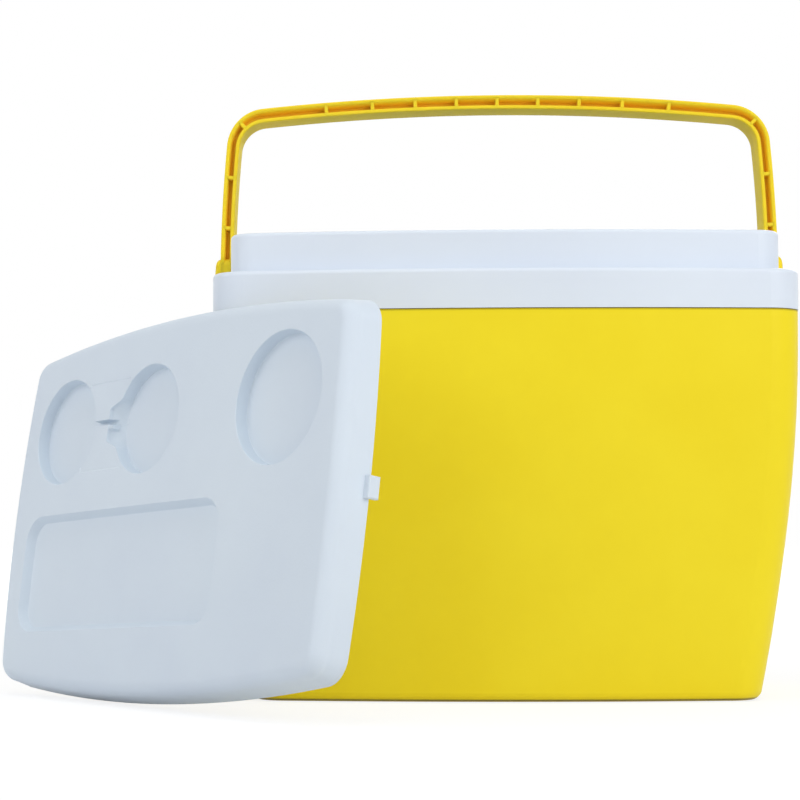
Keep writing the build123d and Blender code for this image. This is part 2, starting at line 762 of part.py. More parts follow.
# ---------------------------------------------------------------------------
# Export
# ---------------------------------------------------------------------------
pieces = {
    "outer_shell": outer_shell.part,
    "collar": collar.part,
    "inner_liner": inner_liner.part,
    "wall_insulation": wall_insulation.part,
    "base_insulation": base_insulation.part,
    "handle": handle.part,
    "handle_pin_left": handle_pin_left,
    "handle_pin_right": handle_pin_right,
    "hub_cap_left": hub_cap_left,
    "hub_cap_right": hub_cap_right,
    "lid_cover": lid_cover.part,
    "lid_pan": lid_pan.part,
    "lid_insulation": lid_insulation.part,
    "lid_tongue_left": lid_tongue_left,
    "lid_tongue_right": lid_tongue_right,
    "vial_tray": vial_tray.part,
}
pack_corners = ((-1, -1), (1, -1), (-1, 1), (1, 1))
for number, (side_x, side_y) in enumerate(pack_corners, start=1):
    centre_x = side_x * pack_centre_x
    centre_y = side_y * pack_centre_y
    pieces[f"ice_pack_{number}"] = make_pack(centre_x, centre_y)
    pieces[f"ice_pack_cap_{number}"] = make_pack_cap(centre_x, centre_y)

for name, part in pieces.items():
    part.label = name
    export_step(part, f"parts/{name}.step")
    box = part.bounding_box()
    low = tuple(round(value, 2) for value in box.min)
    high = tuple(round(value, 2) for value in box.max)
    print(name, len(part.solids()), round(part.volume), low, high)
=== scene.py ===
import bmesh
import bpy
import json
import math
import numpy as np
from collections import namedtuple
from mathutils import Matrix, Vector
from mathutils.geometry import delaunay_2d_cdt


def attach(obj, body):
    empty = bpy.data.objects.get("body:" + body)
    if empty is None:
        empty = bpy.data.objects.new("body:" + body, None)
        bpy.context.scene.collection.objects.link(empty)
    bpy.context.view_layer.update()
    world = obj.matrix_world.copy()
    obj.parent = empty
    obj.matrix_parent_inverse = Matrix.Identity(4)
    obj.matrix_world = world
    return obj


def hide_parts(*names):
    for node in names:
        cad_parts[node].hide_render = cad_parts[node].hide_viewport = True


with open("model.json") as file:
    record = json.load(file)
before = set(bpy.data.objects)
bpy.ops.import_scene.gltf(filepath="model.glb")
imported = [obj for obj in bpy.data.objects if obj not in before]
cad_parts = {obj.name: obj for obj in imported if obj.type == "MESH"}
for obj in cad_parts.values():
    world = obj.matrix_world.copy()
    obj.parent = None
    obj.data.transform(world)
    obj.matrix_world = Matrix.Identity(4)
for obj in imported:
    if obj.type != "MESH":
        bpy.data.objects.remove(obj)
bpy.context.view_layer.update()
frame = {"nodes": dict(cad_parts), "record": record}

# ---------------------------------------------------------------------------
# Camera: place in metres, angles in radians.
# ---------------------------------------------------------------------------
image_width = 800
focal_pixels = 2277.9
sensor_width = 36.0
centre_pixel = 321.0
camera_place = (-0.0868, -1.9591, 0.1406)
camera_turn = 0.0334
camera_pitch = 0.0551
camera_roll = 0.0023
clip_near = 0.05
clip_far = 60.0


def make_camera():
    """Camera standing low in front of the box, a little to the left of its middle."""
    data = bpy.data.cameras.new("camera")
    data.sensor_width = sensor_width
    data.lens = sensor_width * focal_pixels / image_width
    data.shift_x = 0.5 - centre_pixel / image_width
    data.clip_start = clip_near
    data.clip_end = clip_far
    camera = bpy.data.objects.new("camera", data)
    bpy.context.scene.collection.objects.link(camera)
    turn = Matrix.Rotation(camera_turn, 4, "Z")
    pitch = Matrix.Rotation(math.pi / 2 + camera_pitch, 4, "X")
    roll = Matrix.Rotation(-camera_roll, 4, "Z")
    camera.matrix_world = Matrix.Translation(camera_place) @ turn @ pitch @ roll
    bpy.context.scene.camera = camera


make_camera()

# ---------------------------------------------------------------------------
# Light and stage: lamps are (name, place in metres, watts).
# ---------------------------------------------------------------------------
white = (1.0, 1.0, 1.0, 1.0)
ambient_colour = (0.97, 0.985, 1.0, 1.0)
ambient_strength = 0.38
lamp_width = 1.8
lamp_target = (0.0, 0.0, 0.2)
lamps = (
    ("key", (2.0, -2.4, 1.6), 43.0),
    ("fill", (-1.7, -2.4, 1.8), 8.0),
    ("left", (-2.6, -0.8, 1.6), 16.0),
    ("top", (0.0, -0.9, 3.0), 16.0),
    ("rear", (0.6, 2.8, 1.9), 22.0),
)
paper_colour = (0.86, 0.87, 0.89, 1.0)
floor_reach = 12.0
floor_drop = 0.0004
floor_glow = 1.14
floor_lift_near = 0.7
floor_near = 1.0
floor_far = 2.6
seen_rays = ("Is Camera Ray", "Is Glossy Ray", "Is Transmission Ray")


def add_lamp(name, place, power):
    """Square soft lamp aimed at the middle of the box."""
    data = bpy.data.lights.new(name, "AREA")
    data.shape = "SQUARE"
    data.size = lamp_width
    data.energy = power
    light = bpy.data.objects.new(name, data)
    bpy.context.scene.collection.objects.link(light)
    direction = Vector(lamp_target) - Vector(place)
    turn = direction.to_track_quat("-Z", "Y").to_matrix().to_4x4()
    light.matrix_world = Matrix.Translation(place) @ turn


def largest_of(nodes, links, outputs):
    """Largest of some node outputs."""
    largest = outputs[0]
    for output in outputs[1:]:
        larger = nodes.new("ShaderNodeMath")
        larger.operation = "MAXIMUM"
        links.new(largest, larger.inputs[0])
        links.new(output, larger.inputs[1])
        largest = larger.outputs[0]
    return largest


def seen_share(nodes, links):
    """Output that is 1 where a surface is seen directly, by reflection or through plastic."""
    path = nodes.new("ShaderNodeLightPath")
    return largest_of(nodes, links, [path.outputs[kind] for kind in seen_rays])


def make_world():
    """Soft surrounding light, plain white where it is seen."""
    world = bpy.data.worlds.new("studio")
    bpy.context.scene.world = world
    world.use_nodes = True
    nodes = world.node_tree.nodes
    links = world.node_tree.links
    nodes.clear()
    out = nodes.new("ShaderNodeOutputWorld")
    mix = nodes.new("ShaderNodeMixShader")
    light = nodes.new("ShaderNodeBackground")
    light.inputs["Color"].default_value = ambient_colour
    light.inputs["Strength"].default_value = ambient_strength
    seen = nodes.new("ShaderNodeBackground")
    seen.inputs["Color"].default_value = white
    seen.inputs["Strength"].default_value = 1.0
    links.new(seen_share(nodes, links), mix.inputs[0])
    links.new(light.outputs[0], mix.inputs[1])
    links.new(seen.outputs[0], mix.inputs[2])
    links.new(mix.outputs[0], out.inputs["Surface"])


def floor_paper():
    """Pale paper that looks whiter where it is seen, and whiter still away from the box."""
    material = bpy.data.materials.new("floor_paper")
    material.use_nodes = True
    nodes = material.node_tree.nodes
    links = material.node_tree.links
    nodes.clear()
    out = nodes.new("ShaderNodeOutputMaterial")
    paper = nodes.new("ShaderNodeBsdfDiffuse")
    paper.inputs["Color"].default_value = paper_colour
    glow = nodes.new("ShaderNodeEmission")
    glow.inputs["Color"].default_value = white
    glow.inputs["Strength"].default_value = floor_glow
    place = nodes.new("ShaderNodeTexCoord")
    from_middle = nodes.new("ShaderNodeVectorMath")
    from_middle.operation = "LENGTH"
    fade = nodes.new("ShaderNodeMapRange")
    fade.inputs["From Min"].default_value = floor_near
    fade.inputs["From Max"].default_value = floor_far
    fade.inputs["To Min"].default_value = floor_lift_near
    fade.inputs["To Max"].default_value = 1.0
    lift = nodes.new("ShaderNodeMixShader")
    seen = nodes.new("ShaderNodeMixShader")
    links.new(place.outputs["Object"], from_middle.inputs[0])
    links.new(from_middle.outputs["Value"], fade.inputs["Value"])
    links.new(fade.outputs[0], lift.inputs[0])
    links.new(paper.outputs[0], lift.inputs[1])
    links.new(glow.outputs[0], lift.inputs[2])
    links.new(seen_share(nodes, links), seen.inputs[0])
    links.new(paper.outputs[0], seen.inputs[1])
    links.new(lift.outputs[0], seen.inputs[2])
    links.new(seen.outputs[0], out.inputs["Surface"])
    return material


def make_floor():
    """Plain pale floor that keeps the object's soft shadow."""
    mesh = bpy.data.meshes.new("floor")
    corners = [(-floor_reach, -floor_reach, -floor_drop), (floor_reach, -floor_reach, -floor_drop)]
    corners += [(floor_reach, floor_reach, -floor_drop), (-floor_reach, floor_reach, -floor_drop)]
    mesh.from_pydata(corners, [], [(0, 1, 2, 3)])
    mesh.materials.append(floor_paper())
    floor = bpy.data.objects.new("floor", mesh)
    bpy.context.scene.collection.objects.link(floor)


make_world()
make_floor()
for lamp in lamps:
    add_lamp(*lamp)

# ---------------------------------------------------------------------------
# Plastics. Colours are display colours with channels from 0 to 255.
# ---------------------------------------------------------------------------
plastic_index = 1.49
mottle_detail = 4.0
mottle_low = 0.34
mottle_high = 0.66
gloss_spread = 0.05
grain_detail = 2.0
grain_strength = 0.6


def linear(red, green, blue):
    """Scene colour from a display colour."""
    channels = []
    for value in (red, green, blue):
        share = value / 255
        channels.append(share / 12.92 if share <= 0.04045 else ((share + 0.055) / 1.055) ** 2.4)
    return (*channels, 1.0)


def moulded_plastic(
    name, pale, deep, roughness, mottle_scale, gleam=0.35, grain_scale=800.0, grain_height=0.00003
):
    """Injection-moulded plastic: slight colour drift, fine surface grain and uneven gloss."""
    material = bpy.data.materials.new(name)
    material.use_nodes = True
    nodes = material.node_tree.nodes
    links = material.node_tree.links
    shader = nodes["Principled BSDF"]
    shader.inputs["IOR"].default_value = plastic_index
    shader.inputs["Specular IOR Level"].default_value = gleam
    place = nodes.new("ShaderNodeTexCoord")
    mottle = nodes.new("ShaderNodeTexNoise")
    mottle.inputs["Scale"].default_value = mottle_scale
    mottle.inputs["Detail"].default_value = mottle_detail
    tint = nodes.new("ShaderNodeValToRGB")
    tint.color_ramp.elements[0].position = mottle_low
    tint.color_ramp.elements[0].color = linear(*deep)
    tint.color_ramp.elements[1].position = mottle_high
    tint.color_ramp.elements[1].color = linear(*pale)
    gloss = nodes.new("ShaderNodeMapRange")
    gloss.inputs["To Min"].default_value = roughness - gloss_spread
    gloss.inputs["To Max"].default_value = roughness + gloss_spread
    grain = nodes.new("ShaderNodeTexNoise")
    grain.inputs["Scale"].default_value = grain_scale
    grain.inputs["Detail"].default_value = grain_detail
    relief = nodes.new("ShaderNodeBump")
    relief.inputs["Strength"].default_value = grain_strength
    relief.inputs["Distance"].default_value = grain_height
    links.new(place.outputs["Object"], mottle.inputs["Vector"])
    links.new(place.outputs["Object"], grain.inputs["Vector"])
    links.new(mottle.outputs[0], tint.inputs[0])
    links.new(tint.outputs[0], shader.inputs["Base Color"])
    links.new(mottle.outputs[0], gloss.inputs["Value"])
    links.new(gloss.outputs[0], shader.inputs["Roughness"])
    links.new(grain.outputs[0], relief.inputs["Height"])
    links.new(relief.outputs[0], shader.inputs["Normal"])
    return material


def mix_colour(material, colour, share):
    """Mix a colour into a plastic's own by the share that a node output gives."""
    nodes = material.node_tree.nodes
    links = material.node_tree.links
    base = nodes["Principled BSDF"].inputs["Base Color"]
    mix = nodes.new("ShaderNodeMixRGB")
    mix.inputs["Color2"].default_value = linear(*colour)
    links.new(share, mix.inputs["Fac"])
    links.new(base.links[0].from_socket, mix.inputs["Color1"])
    links.new(mix.outputs[0], base)


def add_painted_recess_shade(material, tint):
    """Painted shade inside a recess: a deeper colour where the walls of the plastic shade it."""
    # The recess attribute holds the share of painted shade that each point takes.
    depth = material.node_tree.nodes.new("ShaderNodeAttribute")
    depth.attribute_name = "recess"
    mix_colour(material, tint, depth.outputs["Fac"])


def add_painted_joint_shade(material, shade, strength, joints):
    """Painted shade in lines round a wall where it meets other things, given as (height, half width)
    pairs.
    """
    nodes = material.node_tree.nodes
    links = material.node_tree.links
    place = nodes.new("ShaderNodeTexCoord")
    split = nodes.new("ShaderNodeSeparateXYZ")
    links.new(place.outputs["Object"], split.inputs[0])
    shade_shares = []
    for height, half_width in joints:
        above = nodes.new("ShaderNodeMath")
        above.operation = "SUBTRACT"
        above.inputs[1].default_value = height
        away = nodes.new("ShaderNodeMath")
        away.operation = "ABSOLUTE"
        near = nodes.new("ShaderNodeMapRange")
        near.inputs["From Max"].default_value = half_width
        near.inputs["To Min"].default_value = strength
        near.inputs["To Max"].default_value = 0.0
        links.new(split.outputs["Z"], above.inputs[0])
        links.new(above.outputs[0], away.inputs[0])
        links.new(away.outputs[0], near.inputs["Value"])
        shade_shares.append(near.outputs[0])
    mix_colour(material, shade, largest_of(nodes, links, shade_shares))


def make_yellow_shell():
    """Satin yellow of the tub, with painted shade lines where it meets the floor and the collar."""
    material = moulded_plastic(
        "yellow_shell",
        pale=(251, 228, 44),
        deep=(247, 222, 38),
        roughness=0.4,
        mottle_scale=6.0,
        gleam=0.12,
        grain_scale=900.0,
        grain_height=0.00004,
    )
    # Painted shade: a contact shadow where the tub stands on the floor, and shade in the gap under the
    # collar.
    floor_contact_shade = (0.0014, 0.0013)
    collar_gap_shade = (0.3121, 0.0024)
    add_painted_joint_shade(material, shade=(84, 66, 24), strength=0.9, joints=(floor_contact_shade, collar_gap_shade))
    return material


def make_yellow_handle():
    """Warmer yellow of the handle, which lets a little light through, with painted shade in its recess.
    """
    material = moulded_plastic(
        "yellow_handle",
        pale=(255, 225, 58),
        deep=(253, 219, 50),
        roughness=0.5,
        mottle_scale=9.0,
        gleam=0.05,
        grain_scale=900.0,
        grain_height=0.00004,
    )
    shader = material.node_tree.nodes["Principled BSDF"]
    shader.inputs["Subsurface Weight"].default_value = 0.3
    shader.inputs["Subsurface Radius"].default_value = (0.7, 0.6, 0.3)
    shader.inputs["Subsurface Scale"].default_value = 0.004
    # Painted shade: a deeper, warmer yellow in the recess and under the ribs.
    add_painted_recess_shade(material, (255, 206, 60))
    return material


def make_white_lid():
    """Matt, grained white of the lid, with painted shade on the walls of its wells."""
    material = moulded_plastic(
        "white_lid",
        pale=(223, 233, 242),
        deep=(218, 228, 239),
        roughness=0.55,
        mottle_scale=7.0,
        gleam=0.2,
        grain_scale=520.0,
        grain_height=0.00012,
    )
    # Painted shade on the walls of the wells.
    add_painted_recess_shade(material, (212, 224, 235))
    return material


slot_materials = {
    "yellow_shell": make_yellow_shell(),
    "yellow_handle": make_yellow_handle(),
    "white_lid": make_white_lid(),
    "white_collar": moulded_plastic(
        "white_collar",
        pale=(227, 235, 245),
        deep=(223, 231, 242),
        roughness=0.3,
        mottle_scale=7.0,
        grain_scale=900.0,
    ),
    "white_liner": moulded_plastic(
        "white_liner", pale=(232, 236, 241), deep=(227, 232, 238), roughness=0.3, mottle_scale=7.0
    ),
    "foam": moulded_plastic(
        "foam",
        pale=(238, 232, 210),
        deep=(228, 220, 192),
        roughness=0.85,
        mottle_scale=40.0,
        grain_scale=420.0,
        grain_height=0.0004,
    ),
    "pin_white": moulded_plastic(
        "pin_white", pale=(228, 232, 238), deep=(220, 226, 233), roughness=0.4, mottle_scale=20.0
    ),
    "pack_blue": moulded_plastic(
        "pack_blue",
        pale=(150, 196, 232),
        deep=(138, 186, 226),
        roughness=0.25,
        mottle_scale=12.0,
        grain_scale=700.0,
        grain_height=0.00004,
    ),
    "pack_cap_white": moulded_plastic(
        "pack_cap_white", pale=(236, 238, 240), deep=(230, 233, 236), roughness=0.4, mottle_scale=20.0
    ),
    "tray_clear": moulded_plastic(
        "tray_clear", pale=(206, 222, 232), deep=(198, 216, 228), roughness=0.22, mottle_scale=10.0
    ),
}

for entry in frame["record"]["subparts"]:
    node = frame["nodes"][entry["node"]]
    node.data.materials.clear()
    node.data.materials.append(slot_materials[entry["material_slot"]])

# ---------------------------------------------------------------------------
# Mesh helpers. Lengths in the sections below are millimetres until a mesh is made.
# ---------------------------------------------------------------------------
mm = 0.001
weld_distance = 2e-6


def make_piece(name, points, faces, body, slot, place=Matrix.Identity(4)):
    """Smooth-shaded piece from millimetre points, riding on a body."""
    mesh = bpy.data.meshes.new(name)
    mesh.from_pydata([place @ (Vector(point) * mm) for point in points], [], faces)
    mesh.validate()
    mesh.polygons.foreach_set("use_smooth", [True] * len(mesh.polygons))
    mesh.materials.append(slot_materials[slot])
    piece = bpy.data.objects.new(name, mesh)
    bpy.context.scene.collection.objects.link(piece)
    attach(piece, body)
    return piece


def set_recess_shade(piece, shade_shares):
    """Store on each point how much of the painted recess shade it takes."""
    piece.data.attributes.new("recess", "FLOAT", "POINT").data.foreach_set("value", shade_shares)


def tidy_normals(piece, sharp_angle):
    """Join coincident points, turn the faces outward and keep real corners sharp."""
    mesh = bmesh.new()
    mesh.from_mesh(piece.data)
    bmesh.ops.remove_doubles(mesh, verts=mesh.verts, dist=weld_distance)
    bmesh.ops.recalc_face_normals(mesh, faces=mesh.faces)
    mesh.to_mesh(piece.data)
    mesh.free()
    piece.data.set_sharp_from_angle(angle=math.radians(sharp_angle))


def arc_points(centre_u, centre_v, radius, start, end, spacing):
    """Points with outward normals along an arc, from one angle up to another."""
    steps = max(1, math.ceil(radius * abs(end - start) / spacing))
    angles = [start + (end - start) * step / steps for step in range(steps + 1)]
    return [
        (centre_u + radius * math.cos(a), centre_v + radius * math.sin(a), math.cos(a), math.sin(a))
        for a in angles
    ]


def bowed_outline(half_u, half_v, bow_u, bow_v, corner, spacing, corner_step):
    """Closed outline with four bowed sides and round corners, as points with outward normals."""
    end_u = half_u - bow_u
    end_v = half_v - bow_v
    long_radius = (end_u**2 + bow_v**2) / (2 * bow_v)
    short_radius = (end_v**2 + bow_u**2) / (2 * bow_u)
    long_centre = Vector((0.0, half_v - long_radius))
    short_centre = Vector((half_u - short_radius, 0.0))
    apart = short_centre - long_centre
    from_long = long_radius - corner
    from_short = short_radius - corner
    along = (from_long**2 - from_short**2 + apart.length_squared) / (2 * apart.length)
    aside = math.sqrt(from_long**2 - along**2)
    across = Vector((apart.y, -apart.x)).normalized()
    corner_centre = long_centre + apart.normalized() * along + across * aside
    to_corner = corner_centre - short_centre
    short_end = math.atan2(to_corner.y, to_corner.x)
    to_corner = corner_centre - long_centre
    long_start = math.atan2(to_corner.y, to_corner.x)
    quarter = arc_points(*short_centre, short_radius, 0.0, short_end, spacing)
    quarter += arc_points(*corner_centre, corner, short_end, long_start, corner_step)[1:]
    quarter += arc_points(*long_centre, long_radius, long_start, math.pi / 2, spacing)[1:]
    back = quarter[::-1]
    outline = list(quarter)
    outline += [(-u, v, -nu, nv) for u, v, nu, nv in back[1:]]
    outline += [(-u, -v, -nu, -nv) for u, v, nu, nv in quarter[1:]]
    outline += [(u, -v, nu, -nv) for u, v, nu, nv in back[1:-1]]
    return outline


def ring_faces(first, second, count):
    """Quads between two closed rings of equal count, given their first vertex numbers."""
    return [
        (first + i, first + (i + 1) % count, second + (i + 1) % count, second + i)
        for i in range(count)
    ]


# ---------------------------------------------------------------------------
# Lid cover: u runs along the lid, v across it and w out of its face.
# The lid's own place is in metres and its turns are in degrees.
# ---------------------------------------------------------------------------
lid_origin = (-0.25185, -0.16594, 0.15485)
lid_heading = -50.7
lid_lean = 10.0
lid_tilt = 3.2
lid_place = (
    Matrix.Translation(lid_origin)
    @ Matrix.Rotation(math.radians(lid_heading), 4, "Z")
    @ Matrix.Rotation(math.radians(90.0 - lid_lean), 4, "X")
    @ Matrix.Rotation(math.radians(lid_tilt), 4, "Z")
)
lid_half_u = 227.9
lid_half_v = 154.9
lid_bow_u = 6.8
lid_bow_v = 15.8
lid_corner = 22.0
lid_middle_w = 30.8
lid_crown = 2.3
lid_sharp_angle = 60.0
straight_bow = 0.02
outline_spacing = 5.0
corner_spacing = 1.6
cup_spacing = 1.8
tray_spacing = (6.0, 1.8)
opener_spacing = (1.6, 0.4)
plaque_spacing = (2.5, 0.8)
grid_pitch = 9.0
grid_wall_gap = 2.5
grid_border_gap = 5.0
foot_circle_offsets = (0.5, 0.0, -0.6)
merge_distance = 1e-5
least_distance = 1e-6

# Round shoulder, drafted skirt, and the (inset, height) rings that turn its lower edge in to the pan.
shoulder_inset = 14.0
shoulder_height = 12.4
shoulder_steps = 12
inner_inset = shoulder_inset + 1.2
skirt_draft = 3.2
skirt_shares = (0.05, 0.12, 0.3, 0.5, 0.7, 0.85, 0.95)
edge_wall = 2.4
pan_top_w = 2.7
skirt_foot = (
    (edge_wall, pan_top_w),
    (edge_wall - 0.1, 0.5),
    (edge_wall - 0.5, 0.05),
    (0.7, 0.0),
    (0.1, 0.3),
)

# Wells of the face and the opener between two of them; plain cups are (u, radius).
cup_row_v = 68.9
cup_depth = 10.0
middle_cup_u = -29.0
middle_cup_radius = 44.7
plain_cups = ((144.9, 51.3), (-151.5, 44.7))
tray_centre = (-53.4, -50.3)
tray_half = (141.2, 48.5)
tray_corner = 22.0
tray_depth = 7.0
notch_reach = 56.5
notch_half = 14.0
notch_flare = 0.35
notch_blend = 3.0
notch_side = 0.2
notch_step = 2.6
notch_samples = 420
slot_centre = (-88.7, 71.6)
slot_half = (20.0, 2.2)
slot_depth = 6.5
tab_centre = (-83.5, 66.8)
tab_half = (6.5, 2.8)
tab_depth = 0.9
plaque_centre = (-90.2, 68.9)
plaque_half = (31.0, 37.5)
plaque_depth = 0.5
plaque_corner = 2.0
opener_corner = 0.9
# Width over which the painted shade on a well's wall fades out towards its rim and its floor.
wall_shade_fade = 0.6

Recess = namedtuple("Recess", "outline wall distance notched", defaults=(False,))


def face_w(u, v):
    """Height of the lid's crowned face."""
    return lid_middle_w - lid_crown * ((u / lid_half_u) ** 2 + (v / lid_half_v) ** 2)


def lid_outline(inset):
    """Outline of the lid moved inward, as points with outward normals."""
    return bowed_outline(
        lid_half_u - inset,
        lid_half_v - inset,
        lid_bow_u,
        lid_bow_v,
        lid_corner - inset,
        outline_spacing,
        corner_spacing,
    )


def recess_wall(depth, draft, rim_radius, foot_radius, margin, steps=4):
    """(offset, depth) points down a drafted wall with a rounded rim and foot; offset grows outward."""
    steep = math.pi / 2 - math.radians(draft)
    rim_reach = rim_radius * math.tan(steep / 2)
    foot_reach = foot_radius * math.tan(steep / 2)
    floor_offset = -depth / math.tan(steep) - foot_reach
    wall = [(rim_reach + margin, 0.0)]
    for step in range(steps + 1):
        a = steep * step / steps
        wall.append((rim_reach - rim_radius * math.sin(a), rim_radius * (1 - math.cos(a))))
    for step in range(steps, -1, -1):
        a = steep * step / steps
        wall.append((floor_offset + foot_radius * math.sin(a), depth - foot_radius * (1 - math.cos(a))))
    wall.append((floor_offset - margin, depth))
    return wall


def circle_outline(centre_u, centre_v, radius):
    """Closed circle as points with outward normals."""
    return arc_points(centre_u, centre_v, radius, 0.0, 2 * math.pi, cup_spacing)[:-1]


def box_outline(centre, half, corner, spacing, corner_step):
    """Closed round-cornered rectangle, its sides all but straight, as points with outward normals."""
    outline = bowed_outline(*half, straight_bow, straight_bow, corner, spacing, corner_step)
    return [(u + centre[0], v + centre[1], nu, nv) for u, v, nu, nv in outline]


def smooth_max(first, second, width):
    """Larger of two values, blended over a width."""
    share = max(width - abs(first - second), 0.0) / width
    return max(first, second) + share * share * width / 4


def notched_reach(angle):
    """Distance of the notched cup's edge from its middle; the notch is on the side away from +u."""
    outward = -math.cos(angle)
    if outward <= notch_side:
        return middle_cup_radius
    end = notch_reach / outward
    flank = (notch_half + notch_reach * notch_flare) / (abs(math.sin(angle)) + notch_flare * outward)
    notch = -smooth_max(-end, -flank, notch_blend)
    return smooth_max(middle_cup_radius, notch, notch_blend)


def notched_outline():
    """The middle cup's outline, with the opener's notch let into its outer side."""
    points = []
    for step in range(notch_samples):
        angle = 2 * math.pi * step / notch_samples
        reach = notched_reach(angle)
        points.append((middle_cup_u + reach * math.cos(angle), cup_row_v + reach * math.sin(angle)))
    outline = []
    for i, (u, v) in enumerate(points):
        before = points[i - 1]
        after = points[(i + 1) % notch_samples]
        tangent = Vector((after[0] - before[0], after[1] - before[1])).normalized()
        outline.append((u, v, tangent.y, -tangent.x))
    return outline


def circle_distance(places, centre_u, centre_v, radius):
    """Signed distance from a circle, negative inside."""
    return np.hypot(places[:, 0] - centre_u, places[:, 1] - centre_v) - radius


def box_distance(places, centre, half, corner):
    """Signed distance from a round-cornered rectangle, negative inside."""
    across = np.abs(places - np.array(centre)) - np.array(half) + corner
    outside = np.hypot(*np.maximum(across, 0.0).T)
    return outside + np.minimum(across.max(axis=1), 0.0) - corner


def outline_distance(places, outline):
    """Signed distance from a closed outline, negative inside."""
    starts = np.array([(u, v) for u, v, _, _ in outline])
    spans = np.roll(starts, -1, axis=0) - starts
    nearest = np.full(len(places), np.inf)
    side = np.zeros(len(places))
    for start, span in zip(starts, spans):
        offset = places - start
        share = np.clip(offset @ span / (span @ span), 0.0, 1.0)
        gap = offset - share[:, None] * span
        distance = np.hypot(gap[:, 0], gap[:, 1])
        closer = distance < nearest
        nearest[closer] = distance[closer]
        turn = span[0] * offset[:, 1] - span[1] * offset[:, 0]
        side[closer] = np.where(turn[closer] > 0, -1.0, 1.0)
    return nearest * side


def round_recess(centre_u, radius, wall):
    """Round well in the row of cups."""
    outline = circle_outline(centre_u, cup_row_v, radius)
    return Recess(outline, wall, lambda places: circle_distance(places, centre_u, cup_row_v, radius))


def notched_recess(wall):
    """Middle cup well with the opener's notch."""
    outline = notched_outline()
    return Recess(outline, wall, lambda places: outline_distance(places, outline), True)


def box_recess(centre, half, corner, spacings, wall):
    """Recess with a round-cornered rectangular edge; spacings are for its sides and its corners."""
    outline = box_outline(centre, half, corner, *spacings)
    return Recess(outline, wall, lambda places: box_distance(places, centre, half, corner))


def lid_wells():
    """The wells that are let into the lid's face: cups, tray and the opener's slot."""
    cup_wall = recess_wall(cup_depth, draft=6.0, rim_radius=0.8, foot_radius=0.9, margin=0.9)
    tray_wall = recess_wall(tray_depth, draft=34.0, rim_radius=0.8, foot_radius=1.2, margin=0.9)
    slot_wall = recess_wall(slot_depth, draft=3.0, rim_radius=0.5, foot_radius=0.5, margin=0.3, steps=2)
    wells = [round_recess(u, radius, cup_wall) for u, radius in plain_cups]
    wells.append(notched_recess(cup_wall))
    wells.append(box_recess(tray_centre, tray_half, tray_corner, tray_spacing, tray_wall))
    wells.append(box_recess(slot_centre, slot_half, opener_corner, opener_spacing, slot_wall))
    return wells


def opener_tab():
    """The opener's tab, where the wells stay shallow; its depth is a share from 0 to 1."""
    tab_wall = recess_wall(1.0, draft=60.0, rim_radius=0.3, foot_radius=0.3, margin=0.2, steps=1)
    return box_recess(tab_centre, tab_half, opener_corner, opener_spacing, tab_wall)


def opener_plaque():
    """Shallow rectangular step round the opener."""
    plaque_wall = recess_wall(
        plaque_depth, draft=50.0, rim_radius=0.4, foot_radius=0.4, margin=0.3, steps=1
    )
    return box_recess(plaque_centre, plaque_half, plaque_corner, plaque_spacing, plaque_wall)


def depth_at(distance, wall):
    """Recess depth at signed distances from its edge."""
    offsets = [offset for offset, _ in wall][::-1]
    depths = [depth for _, depth in wall][::-1]
    return np.interp(distance, offsets, depths)


def notched_foot_radius(wall):
    """Radius of the circle where the wall of the middle cup meets its floor."""
    return middle_cup_radius + wall[-2][0]


def notch_depth(places, depth, distance, foot_radius):
    """Depth of the notched cup: the notch steps down, then slopes to the foot of the round well."""
    from_foot = np.maximum(circle_distance(places, middle_cup_u, cup_row_v, foot_radius), 0.0)
    from_edge = np.maximum(-distance, least_distance)
    slope = notch_step + (cup_depth - notch_step) * from_edge / (from_edge + from_foot)
    return np.minimum(depth, slope)


def face_depths(places, wells, tab, plaque):
    """Depth of the lid's face at each place, and how far each place lies on a well's wall, which sets
    its painted shade.
    """
    depth = np.zeros(len(places))
    wall_shade_share = np.zeros(len(places))
    for well in wells:
        distance = well.distance(places)
        own = depth_at(distance, well.wall)
        if well.notched:
            own = notch_depth(places, own, distance, notched_foot_radius(well.wall))
        depth = np.maximum(depth, own)
        from_ends = np.minimum(own, well.wall[-1][1] - own)
        wall_shade_share = np.maximum(wall_shade_share, np.clip(from_ends / wall_shade_fade, 0.0, 1.0))
    tab_share = depth_at(tab.distance(places), tab.wall)
    depth = depth * (1 - tab_share) + np.minimum(depth, tab_depth) * tab_share
    depth = np.maximum(depth, depth_at(plaque.distance(places), plaque.wall))
    return depth, wall_shade_share


def skirt_rings():
    """Rings of the skirt and shoulder as (inset, share of the skirt's height, extra height)."""
    rings = [(inset, 0.0, height) for inset, height in skirt_foot]
    rings += [(skirt_draft * share, share, 0.0) for share in skirt_shares]
    for step in range(shoulder_steps + 1):
        a = math.pi / 2 * step / shoulder_steps
        inset = skirt_draft + (shoulder_inset - skirt_draft) * (1 - math.cos(a))
        rings.append((inset, 1.0, shoulder_height * math.sin(a)))
    return rings


def add_skirt(points, faces):
    """Drafted skirt and round shoulder, up to the border of the face."""
    outer = lid_outline(0.0)
    count = len(outer)
    for inset, share, extra in skirt_rings():
        for u, v, nu, nv in outer:
            ring_u = u - nu * inset
            ring_v = v - nv * inset
            skirt_top = face_w(ring_u, ring_v) - shoulder_height
            points.append((ring_u, ring_v, skirt_top * share + extra))
        if len(points) > count:
            faces.extend(ring_faces(len(points) - 2 * count, len(points) - count, count))
    faces.append(tuple(range(count))[::-1])
    return [(u, v) for u, v, _ in points[-count:]]


def add_loop(flat_points, edges, loop):
    """Add a closed loop of places that the face's mesh has to follow."""
    first = len(flat_points)
    size = len(loop)
    flat_points.extend(loop)
    edges.extend((first + i, first + (i + 1) % size) for i in range(size))


